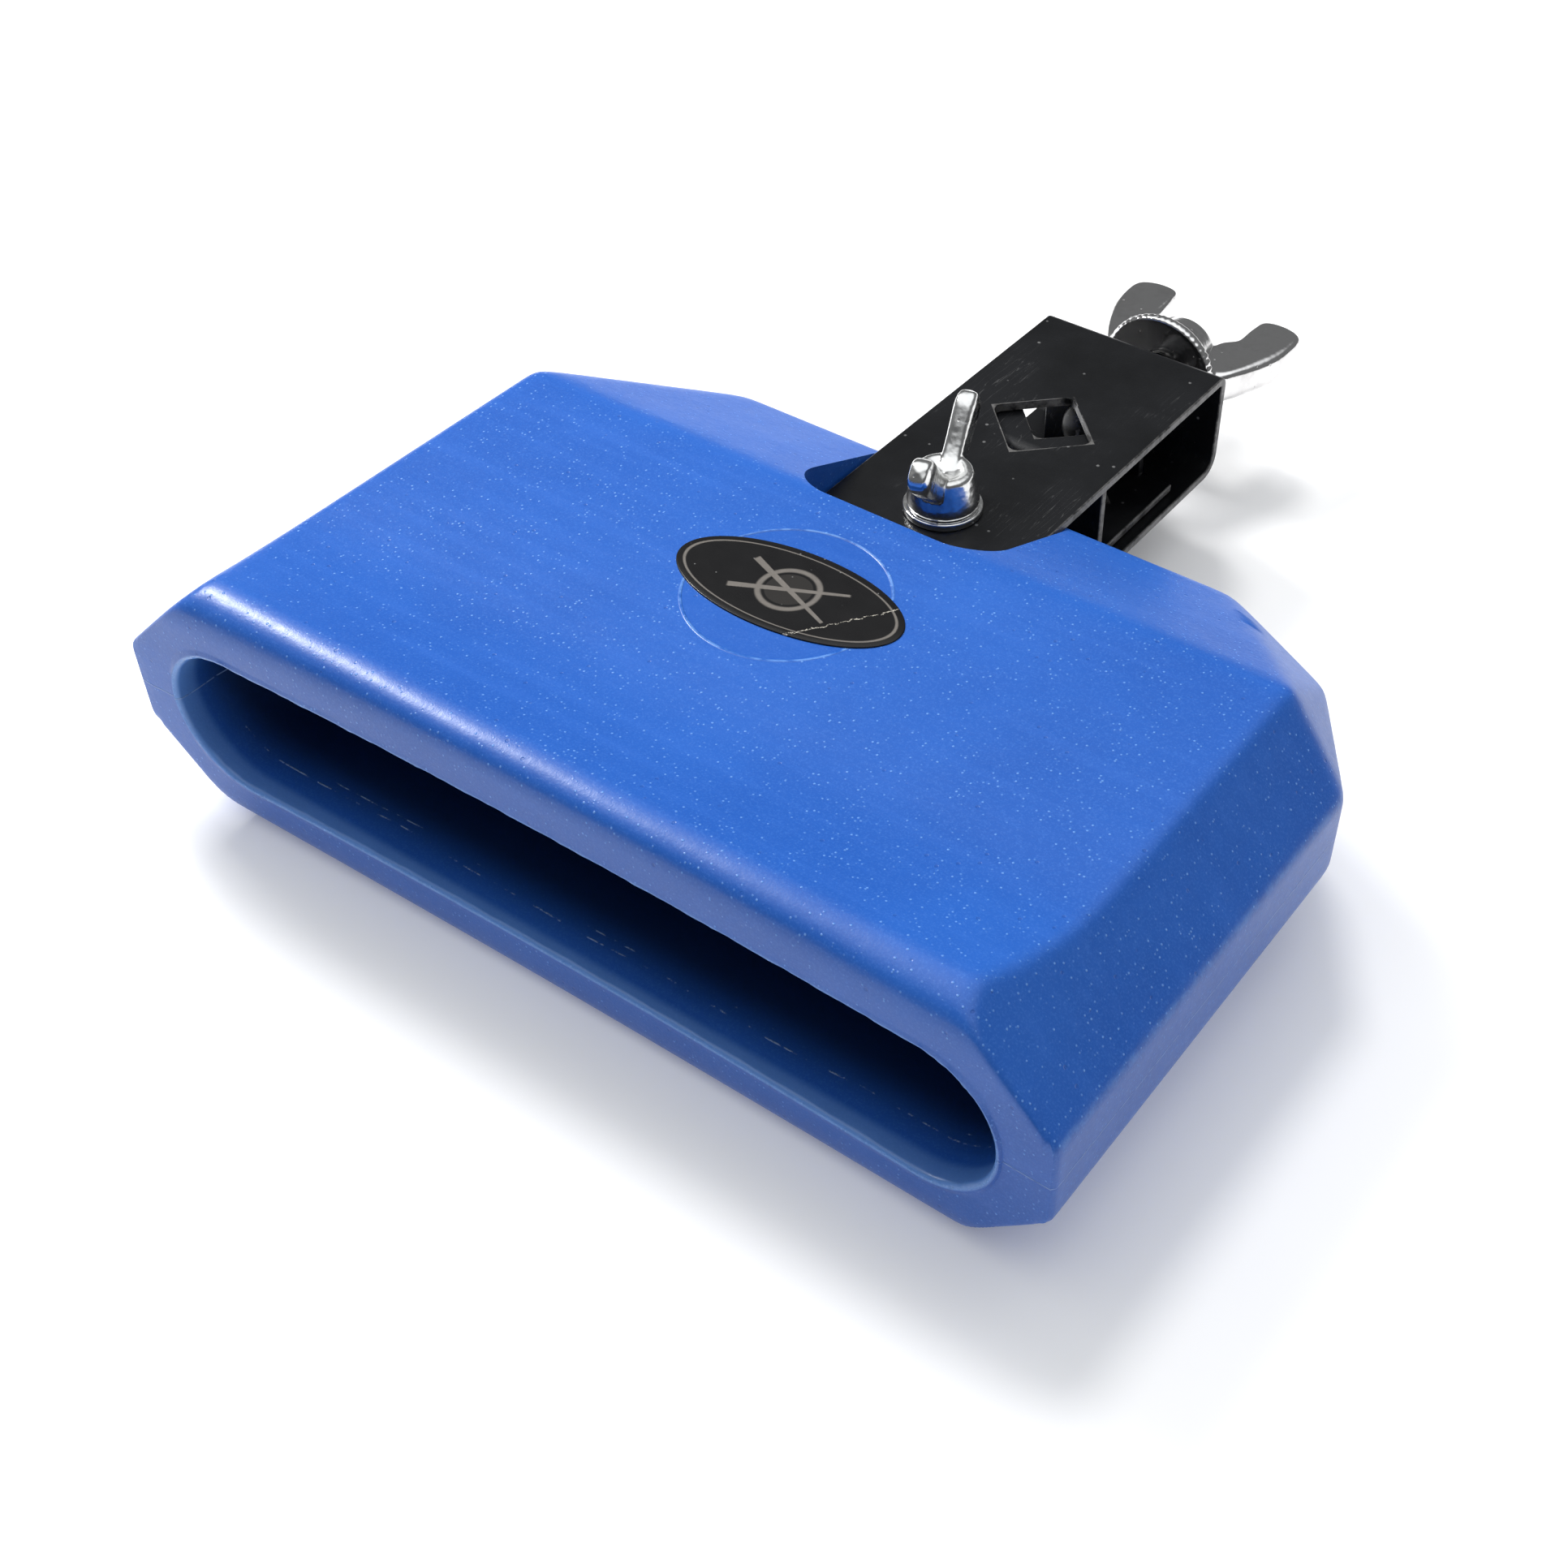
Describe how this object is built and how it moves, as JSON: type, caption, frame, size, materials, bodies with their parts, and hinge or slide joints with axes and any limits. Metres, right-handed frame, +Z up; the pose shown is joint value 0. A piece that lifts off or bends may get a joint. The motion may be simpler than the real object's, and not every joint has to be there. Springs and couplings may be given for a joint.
{
  "type": "clip-on percussion block",
  "caption": "Hollow moulded percussion block with a wide slot mouth, on a steel clamp bracket with wing screws that grips an upright rod.",
  "frame": {"origin": "middle of the slot mouth, on the mould's parting plane", "axes": "+X along the mouth, to the right seen from in front; +Y from the mouth towards the bracket and wing nut; +Z up, along the rod the clamp grips"},
  "size_m": [0.165, 0.1932, 0.0469],
  "materials": {
    "block_plastic": "satin, finely grained moulding",
    "label_gloss": "gloss black with a thin silver line",
    "black_steel": "black powder coat",
    "black_bolt": "black oxide, smooth",
    "chrome_plate": "polished",
    "bright_zinc": "bright zinc plate"
  },
  "bodies": {
    "block_and_bracket": {"block": "block_plastic", "label": "label_gloss", "bracket": "black_steel", "under_washer": "bright_zinc", "under_nut": "bright_zinc"},
    "clamp": {"clamp_jaw": "black_steel", "clamp_bolt": "black_bolt"},
    "clamp_nut": {"wing_nut": "chrome_plate"},
    "lifting_washer": {"bolt_washer": "bright_zinc"},
    "hand_bolt": {"wing_bolt": "bright_zinc"}
  },
  "joints": [
    {"name": "clamp_slide", "type": "slide", "parent": "block_and_bracket", "child": "clamp", "axis": [0, 1, 0], "range_m": [-0.008, 0]},
    {"name": "wing_nut_turn", "type": "hinge", "parent": "clamp", "child": "clamp_nut", "pos_m": [0, 0.17, -0.0008], "axis": [0, 1, 0], "continuous": true},
    {"name": "washer_lift", "type": "slide", "parent": "block_and_bracket", "child": "lifting_washer", "axis": [0, 0, 1], "range_m": [0, 0.006]},
    {"name": "wing_bolt_turn", "type": "hinge", "parent": "lifting_washer", "child": "hand_bolt", "pos_m": [0, 0.0956, 0], "axis": [0, 0, 1], "range_deg": [0, 1800]}
  ],
  "couplings": [
    {"joint": "washer_lift", "follows": "wing_bolt_turn", "m_per_rad": 0.00015915}
  ]
}
